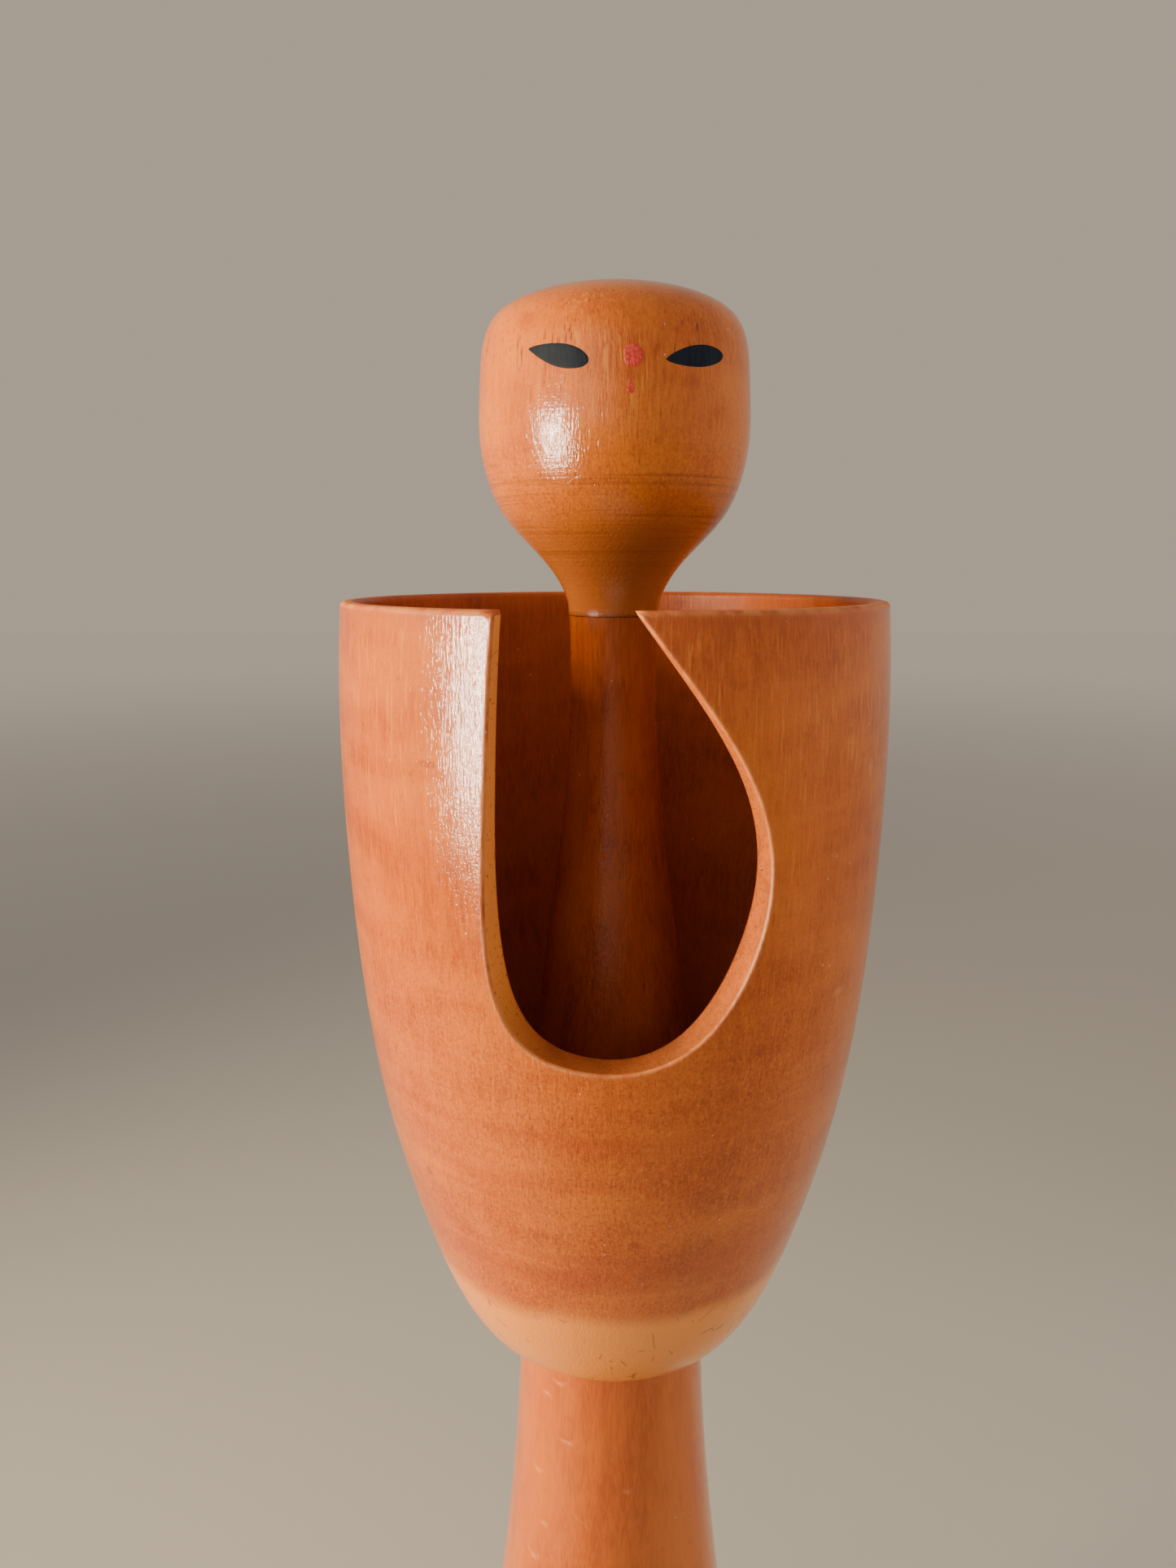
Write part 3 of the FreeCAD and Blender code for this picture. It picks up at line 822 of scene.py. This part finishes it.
bare_cut, tree, shader = new_material("sanded collar cut")
place = here(tree)
grit = noise(tree, place, 3.0, 0.75, 1500.0)
soft = noise(tree, place, 2.0, 0.5, 260.0)
tone = ramp_mask(tree, plus(tree, times(tree, grit, 0.6), times(tree, soft, 0.4)), 0.36, 0.64)
colour = mix(tree, tone, (0.42, 0.098, 0.012, 1.0), (0.76, 0.175, 0.020, 1.0))
# Painted light: the cut's upright side at the left is painted lighter, for light that reaches it only
# through the opening. The cut is also darker towards the bottom.
side = times(tree, node(tree, "SeparateXYZ", Vector=place).outputs[0], 1000.0)
painted_light_on_left_cut = times(tree, ramp_mask(tree, side, -8.0, -15.0), 0.9)
colour = mix(tree, painted_light_on_left_cut, colour, (0.95, 0.330, 0.060, 1.0))
darker_low_on_cut = times(tree, ramp_mask(tree, upright(tree), 214.0, 201.0), 0.50)
colour = mix(tree, darker_low_on_cut, colour, (0.24, 0.085, 0.030, 1.0))
colour = mix(tree, ramp_mask(tree, grit, 0.60, 0.68), colour, (0.20, 0.05, 0.012, 1.0))
tree.links.new(colour, shader.inputs["Base Color"])
shader.inputs["Roughness"].default_value = 0.72
shader.inputs["Specular IOR Level"].default_value = 0.20
emboss(tree, shader, 0.7, 0.00030, grit)

# Stain outside and over the rim, the redder stain inside, bare wood on the cut and under the seat.
STAINED, INSIDE, BARE = 0, 1, 2
finishes = [STAINED] * len(triangles) + [INSIDE] * len(triangles)
finishes += [BARE if min(near_rim[a], near_rim[b]) > LIP else STAINED
             for a, b in zip(edge_ids, edge_ids[1:])] * CUT_STEPS
SEAT_RINGS = 2               # the underside of the seat and the dowel hole
for ring in range(len(profile) - 1):
    if ring < len(outer_low):
        finish = STAINED
    elif ring < len(outer_low) + SEAT_RINGS:
        finish = BARE
    else:
        finish = INSIDE
    finishes += [finish] * COLUMNS
cup = new_piece("turned_cup", vertices, wall_faces + cut_faces + low_faces,
                [cup_stain, inside_stain, bare_cut], "stand", "cup_wood", finishes)
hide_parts("robe_cup")
wear = cup.data.attributes.new("worn_edge", "FLOAT", "POINT")
places = np.array([tuple(v.co) for v in cup.data.vertices])
laid_flat = np.stack([np.arctan2(places[:, 0], -places[:, 1]) * UNROLL, places[:, 2]], axis=1)
to_edge = np.minimum(to_line(laid_flat, collar), np.abs(RIM - 0.2 * MM - places[:, 2]))
wear.data.foreach_set("value", np.exp(-(to_edge / COLLAR_ROUND) ** 2).astype(np.float32))

# ---------------------------------------------------------------------------
# Pedestal. A solid turned flare, glued up under the cup on the centre dowel. It is
# redder and glossier than the cup, with knocks and scratches from use; its flat
# underside is bare.
STEM_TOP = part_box("pedestal")[1].z
CORE_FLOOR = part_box("centre_dowel")[0].z

pedestal_stain, tree, shader, colour = lacquered(
    "pedestal wood, orange-red stain", deep=(0.42, 0.074, 0.003), main=(0.57, 0.116, 0.004),
    light=(0.64, 0.148, 0.006), pores=0.12, ring=(0.04, 0.04, 137.0, 0.0),
    worn=(0.0, 0.0, 137.0, 0.0), seed=(0.71, 0.33, 0.0),
    patch=(0.010, 0.030), gloss=(0.12, 0.20), bump=0.16, scratch=0.20)
shader.inputs["Coat Weight"].default_value = 0.28
shader.inputs["Coat Roughness"].default_value = 0.06
# Each knock's lower lip is painted paler: partly wood bared by the knock, partly a painted highlight.
knock_bared_and_highlit = node(tree, "Attribute", {"attribute_name": "knock_pale_and_highlit"}).outputs["Fac"]
colour = mix(tree, times(tree, knock_bared_and_highlit, 0.50), colour, (0.86, 0.34, 0.14, 1.0))
tree.links.new(colour, shader.inputs["Base Color"])
pedestal_line = lathe_curve([(15.7 * MM, STEM_TOP), (15.8 * MM, 122.4 * MM), (18.4 * MM, 92.0 * MM),
                             (25.0 * MM, 47.0 * MM), (30.0 * MM, 17.0 * MM), (32.0 * MM, 2.0 * MM)],
                            0.42 * MM)
outline = ([(0.0, CORE_FLOOR), (CORE_RADIUS, CORE_FLOOR), (CORE_RADIUS, STEM_TOP), (15.5 * MM, STEM_TOP)]
           + list(pedestal_line) + [(31.9 * MM, 1.0 * MM), (31.6 * MM, 0.35 * MM), (31.2 * MM, 0.0),
                                    (0.0, 0.0)])
vertices, faces = turned(outline, 270)
LACQUERED_SIDE, UNDERSIDE = 0, 1
finishes = [UNDERSIDE if all(vertices[c][2] < TOUCH for c in face) else LACQUERED_SIDE for face in faces]
pedestal = new_piece("turned_pedestal", vertices, faces, [pedestal_stain, bare_wood], "stand",
                     "pedestal_wood", finishes)
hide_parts("pedestal")

# Each knock is a shallow crescent: bearing in degrees, then height, length, how far its middle
# sags and its depth in mm.
KNOCKS = ((-28.5, 123.7, 3.6, 0.7, 0.16), (-43.0, 129.8, 2.6, -0.5, 0.10), (-49.0, 116.0, 3.0, 0.9, 0.12),
          (-41.5, 106.8, 2.2, 0.4, 0.12), (-48.0, 100.5, 4.0, 1.2, 0.16), (8.3, 116.0, 2.0, 0.3, 0.08),
          (-34.0, 134.0, 3.2, 0.8, 0.10), (70.0, 88.0, 3.0, 0.6, 0.12), (150.0, 60.0, 4.0, 0.9, 0.16),
          (-120.0, 45.0, 3.2, -0.6, 0.14), (-160.0, 98.0, 2.6, 0.5, 0.12), (-75.0, 24.0, 4.5, 0.8, 0.18))
KNOCK_WIDTH = 0.42           # mm
PRESS = 1.3                  # how much deeper they are all pressed
HOLE_REACH = 12.0 * MM       # points nearer the axis are in the dowel's hole and aren't pressed
knock_pale_and_highlit = pedestal.data.attributes.new("knock_pale_and_highlit", "FLOAT", "POINT")
places = np.array([tuple(v.co) for v in pedestal.data.vertices])
reach = np.hypot(places[:, 0], places[:, 1])
turn = np.degrees(np.arctan2(places[:, 0], -places[:, 1]))
pressed, pale_and_highlit_lip = np.zeros(len(places)), np.zeros(len(places))
for bearing, height, length, sag, depth in KNOCKS:
    side = np.radians((turn - bearing + 180.0) % 360.0 - 180.0) * reach / MM
    along = side / (0.5 * length)
    up = places[:, 2] / MM - height + sag * (1.0 - along ** 2)
    taper = np.clip(1.0 - along ** 2, 0.0, 1.0) * (reach > HOLE_REACH)
    pressed += PRESS * depth * taper * np.exp(-(up / KNOCK_WIDTH) ** 2)
    # The paler band along each knock's lower lip is partly bared wood and partly a painted highlight.
    pale_and_highlit_lip += taper * np.exp(-((up + 0.25) / (0.6 * KNOCK_WIDTH)) ** 2)
knock_pale_and_highlit.data.foreach_set("value", np.clip(pale_and_highlit_lip, 0.0, 1.0).astype(np.float32))
shrink = 1.0 - pressed * MM / np.maximum(reach, MM)
for vertex, factor in zip(pedestal.data.vertices, shrink):
    vertex.co.x *= factor
    vertex.co.y *= factor
